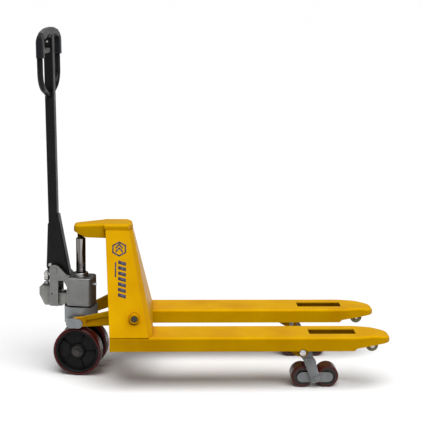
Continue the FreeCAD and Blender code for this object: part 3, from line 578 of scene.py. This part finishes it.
def rib_data(angle, middle, outward, reach):
    """One radial rib on each face of the hub's web, wide at its foot."""
    across = Vector((0, 0, 1)).cross(outward).normalized()
    out = across * math.cos(angle) + Vector((0, 0, 1)) * math.sin(angle)
    along = out.cross(outward)
    ribs = []
    for face in (1, -1):
        vertices = []
        for r, top in ((27, 16.5), (47, 15.0), (reach, 18.0)):
            section = ((4.2, 3.0), (2.6, top - 1.0), (1.6, top),
                       (-1.6, top), (-2.6, top - 1.0), (-4.2, 3.0))
            for width, height in section:
                vertices.append(middle + out * (r * MM) + along * (width * MM)
                                + outward * (face * height * MM))
        ribs.append((vertices, six_sided_faces(2)))
    return ribs


def load_rollers():
    """Tread, steel core and bearing shields of the four load rollers."""
    for side in ("left", "right"):
        for end in ("front", "rear"):
            body = f"load_roller_{end}_{side}"
            centre, axis = joint_place(body + "_spin")
            low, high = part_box(body)
            radius = (high.z - low.z) / 2 / MM
            half = (high.y - low.y) / 2 / MM
            tread = [(-half, 31.5), (-half, radius - 4), (-half + 4, radius), (half - 4, radius),
                     (half, radius - 4), (half, 31.5), (half - 2, 30.8), (-half + 2, 30.8)]
            lathe(body + "_tread", tread, centre, axis, BROWN_TREAD, body, "load_tyre",
                  [body], 1.5)
            roller_core(body, centre, axis, half)


def roller_core(body, centre, axis, half):
    """Steel core of a load roller and the bearing shield set into each end."""
    face = half - 1.0
    core = rounded_profile([(-face, 30.6), (face, 30.6), (face, 27), (face - 3, 25.5),
                            (face - 3, 20.5), (-face + 3, 20.5), (-face + 3, 25.5),
                            (-face, 27)], 0.6, 2)
    blocks = [lathe_data(core, centre, axis, 80)]
    for way in (1, -1):
        shield = [(way * (face - 4), 20.4), (way * (face - 4), 11), (way * (face - 5), 8.2),
                  (way * (face - 16), 8.2), (way * (face - 16), 20.4)]
        blocks.append(lathe_data(rounded_profile(shield, 0.5, 2), centre, axis, 64))
    obj = piece(body + "_core", *joined(blocks), DARK_STEEL, body, "dark_steel")
    even_shading(obj)


# ---------------------------------------------------------------- pump details

def return_spring():
    """Coil spring under the plunger's plate."""
    low, high, middle = corners("plunger_spring")
    end_gap, coil_radius = 0.0014, 0.0100
    coil_low, coil_high = low.z + end_gap, high.z - end_gap
    turns, steps = 6.5, 26
    points = []
    for i in range(int(turns * steps) + 1):
        t = i / (turns * steps)
        a = 2 * math.pi * turns * t
        climb = min(1, max(0, (t * turns - 0.6) / (turns - 1.2)))
        rise = coil_low + (coil_high - coil_low) * climb
        points.append(Vector((middle.x + coil_radius * math.cos(a),
                              middle.y + coil_radius * math.sin(a), rise)))
    data = tube_data(points, 1.3, 10)
    spring = piece("return_spring", *data, ZINC, "steering_unit", "zinc_steel",
                   ["plunger_spring"])
    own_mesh(spring)


def hexagonal_bolt(centre, axis, length, across, head, washer):
    """Hex head with a chamfered rim, its washer and the shank behind it."""
    u, w = axes_for(axis)
    shank = [(-length, 0.01), (-length, 3.6), (0, 3.6), (0, washer), (1.0, washer), (1.0, 0.01)]
    blocks = [lathe_data(shank, centre, axis, 32)]
    rings = []
    for along, scale in ((1.0, 0.97), (1.3, 1.0), (head - 0.6, 1.0), (head, 0.88)):
        rings.append([centre + axis * (along * MM)
                      + (u * math.cos(a) + w * math.sin(a)) * (across * scale * MM)
                      for a in SIXTHS])
    vertices = [v for ring in rings for v in ring]
    blocks.append((vertices, six_sided_faces(3, ends_swapped=True)))
    return joined(blocks)


def bracket_bolts():
    """Bolts of the handle's bracket: two through the tube, painted, and a bright one low down."""
    pivot = joint_place("handle_tilt")[0]
    lean, half_bracket = math.radians(-0.97), 22.5
    turn = Matrix.Rotation(lean, 3, ACROSS)
    blocks = {"bright": [], "painted": []}
    for kind, x, z in (("bright", -21.3, 16), ("painted", -8.8, 82), ("painted", -8.8, 152)):
        middle = pivot + turn @ ((AHEAD * x + Vector((0, 0, z))) * MM)
        for side in (1, -1):
            at = middle + ACROSS * (side * half_bracket * MM)
            blocks[kind].append(hexagonal_bolt(at, ACROSS * side, 22.0, 6.2, 4.0, 6.9))
    bolts = piece("bolts_painted", *joined(blocks["painted"]), BLACK, "handle", "zinc_steel",
                  ["bracket_bolts"])
    bright = piece("bolt_bright", *joined(blocks["bright"]), ZINC, "handle", "zinc_steel")
    for obj in (bolts, bright):
        even_shading(obj)


# ---------------------------------------------------------------- head details

PANEL_FOOT, PANEL_CROWN = 200, 548     # heights between which the panels lean, in mm
BOSS_BEAD = 17.6                       # radius of the bead round the shaft's boss, in mm
RIPPLE = 0.10                          # of a weld bead's radius


def panel_half(z):
    """Half width of the inclined head at a height, both in mm."""
    low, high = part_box("head_side_left")
    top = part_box("head_cap")[1].y / MM
    foot, base, crown = high.y / MM, low.z / MM, high.z / MM
    return foot + (top - foot) * (z - base) / (crown - base)


def panel_point(x, z, proud, side):
    """Point on the inclined side panel, a little proud of it."""
    lean = math.atan2(panel_half(PANEL_FOOT) - panel_half(PANEL_CROWN),
                      PANEL_CROWN - PANEL_FOOT)
    y = panel_half(z) + proud * math.cos(lean)
    return straight(x, side * y, z + proud * math.sin(lean))


def welds():
    """Beads at the cap, at the feet of the panels and round the shaft's bosses."""
    low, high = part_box("head_cap")
    half = high.y / MM
    seam = low.z / MM
    round_top = [(93, half), (176, half), (190, half - 28), (190, 28 - half), (176, -half),
                 (93, -half)]
    blocks = [tube_data([straight(x, y, seam) for x, y in round_top], 2.1, 8, False, RIPPLE)]
    for side in (1, -1):
        foot = [(112, 267.5, 199), (248, 267.5, 199), (264.5, 236, 200.5), (264.5, 112, 200.5)]
        at_foot = [straight(x, side * y, z) for x, y, z in foot]
        blocks.append(tube_data(at_foot, 2.6, 8, False, RIPPLE, seed=5))
        centre, _ = joint_place("rocker_turn")
        ring = []
        for k in range(64):
            a = 2 * math.pi * k / 64
            x = centre.x / MM - RAM.x / MM + BOSS_BEAD * math.cos(a)
            z = centre.z / MM + BOSS_BEAD * math.sin(a)
            ring.append(panel_point(x, z, 0.4, side))
        blocks.append(tube_data(ring, 2.0, 8, True, RIPPLE, seed=7))
        root = [straight(89.5, side * 50.5, z) for z in (518, 546)]
        blocks.append(tube_data(root, 2.0, 8, False, RIPPLE, seed=9))
    bead = piece("weld_beads", *joined(blocks), WELD, "frame", "yellow_paint")
    even_shading(bead)


def plain_mark():
    """Plain printed mark on each side panel: a framed chevron over a row of slanted bars."""
    for side, name in ((1, "left"), (-1, "right")):
        blocks = []
        for outline in mark_outlines():
            blocks.append(prism_data(outline, 0.10, 0.35,
                                     lambda a, b, h: panel_point(a, b, h, side)))
        piece("mark_" + name, *joined(blocks), INK, "frame", "black_paint")


def mark_outlines():
    """Outlines of the mark, as lists of (x, z) in mm from the ram's foot."""
    x, z = 143.0, 484.0
    shapes = []
    outer = [(x + 29 * math.sin(a), z + 25 * math.cos(a)) for a in SIXTHS]
    inner = [(x + 23 * math.sin(a), z + 19.5 * math.cos(a)) for a in SIXTHS]
    for k in range(6):
        m = (k + 1) % 6
        shapes.append([outer[k], outer[m], inner[m], inner[k]])
    for drop in (-4, 8):
        foot, crest = z - 5 - drop, z + 8 - drop
        shapes.append([(x - 13, foot), (x, crest), (x, crest + 7), (x - 13, foot + 7)])
        shapes.append([(x, crest), (x + 13, foot), (x + 13, foot + 7), (x, crest + 7)])
    for i in range(7):
        top = 447 - 17.5 * i
        shapes.append([(x - 3, top), (x + 25, top - 7), (x + 25, top - 18), (x - 3, top - 11)])
    shapes.append([(x - 15, 441), (x - 10, 441), (x - 10, 393), (x - 15, 393)])
    return shapes


# ---------------------------------------------------------------- surroundings

SKY_STRENGTH = 0.17
SUN_STRENGTH, SUN_SPREAD = 3.3, 60     # the spread in degrees
SUN_WAY = (-0.12, 0.38, -0.92)
LENS, YAW, PITCH, ROLL = 114.43, 2.8657, -10.905, 0.6515
CAMERA_FROM_RAM = (0.23636, -4.85140, 1.54202)


def floor():
    """Plain pale ground, far wider than any view of the object."""
    mesh = bpy.data.meshes.new("floor")
    size = 60.0
    square = [(-size, -size, 0), (size, -size, 0), (size, size, 0), (-size, size, 0)]
    mesh.from_pydata(square, [], [(0, 1, 2, 3)])
    mesh.materials.append(dusty_floor())
    ground = bpy.data.objects.new("floor", mesh)
    bpy.context.scene.collection.objects.link(ground)
    ground.visible_diffuse = False


def studio_light():
    """Even sky, a wide soft light from above and a softbox at the object's near right."""
    world = bpy.data.worlds.new("studio")
    bpy.context.scene.world = world
    world.use_nodes = True
    sky = world.node_tree.nodes["Background"].inputs
    sky["Color"].default_value = rgb(1.0, 1.0, 1.0)
    sky["Strength"].default_value = SKY_STRENGTH
    overhead = bpy.data.lights.new("overhead", "SUN")
    overhead.energy = SUN_STRENGTH
    overhead.angle = math.radians(SUN_SPREAD)
    lamp = bpy.data.objects.new("overhead", overhead)
    lamp.rotation_euler = Vector(SUN_WAY).to_track_quat("-Z", "Y").to_euler()
    bpy.context.scene.collection.objects.link(lamp)
    softbox((2.6, -2.4, 1.5), (0.0, 0.0, 0.4), (1.2, 1.8), 16.0)


def softbox(place, target, size, power):
    light = bpy.data.lights.new("softbox", "AREA")
    light.shape = "RECTANGLE"
    light.size, light.size_y = size
    light.energy = power
    lamp = bpy.data.objects.new("softbox", light)
    lamp.location = place
    lamp.rotation_euler = (Vector(target) - Vector(place)).to_track_quat("-Z", "Y").to_euler()
    lamp.visible_camera = False
    bpy.context.scene.collection.objects.link(lamp)


def camera():
    """Long lens beside the object, a little above it."""
    data = bpy.data.cameras.new("camera")
    data.sensor_width = 36.0
    data.lens = LENS
    yaw, pitch, roll = math.radians(YAW), math.radians(PITCH), math.radians(ROLL)
    ahead = Vector((math.sin(yaw) * math.cos(pitch), math.cos(yaw) * math.cos(pitch),
                    math.sin(pitch)))
    right = Vector((math.cos(yaw), -math.sin(yaw), 0))
    up = right.cross(ahead)
    turned_right = right * math.cos(roll) + up * math.sin(roll)
    turned_up = up * math.cos(roll) - right * math.sin(roll)
    view = bpy.data.objects.new("camera", data)
    view.matrix_world = Matrix((turned_right, turned_up, -ahead)).transposed().to_4x4()
    view.location = RAM + Vector(CAMERA_FROM_RAM)
    bpy.context.scene.collection.objects.link(view)
    bpy.context.scene.camera = view


camera()
floor()
studio_light()
dress_nodes()
steering_wheels()
load_rollers()
return_spring()
bracket_bolts()
welds()
plain_mark()
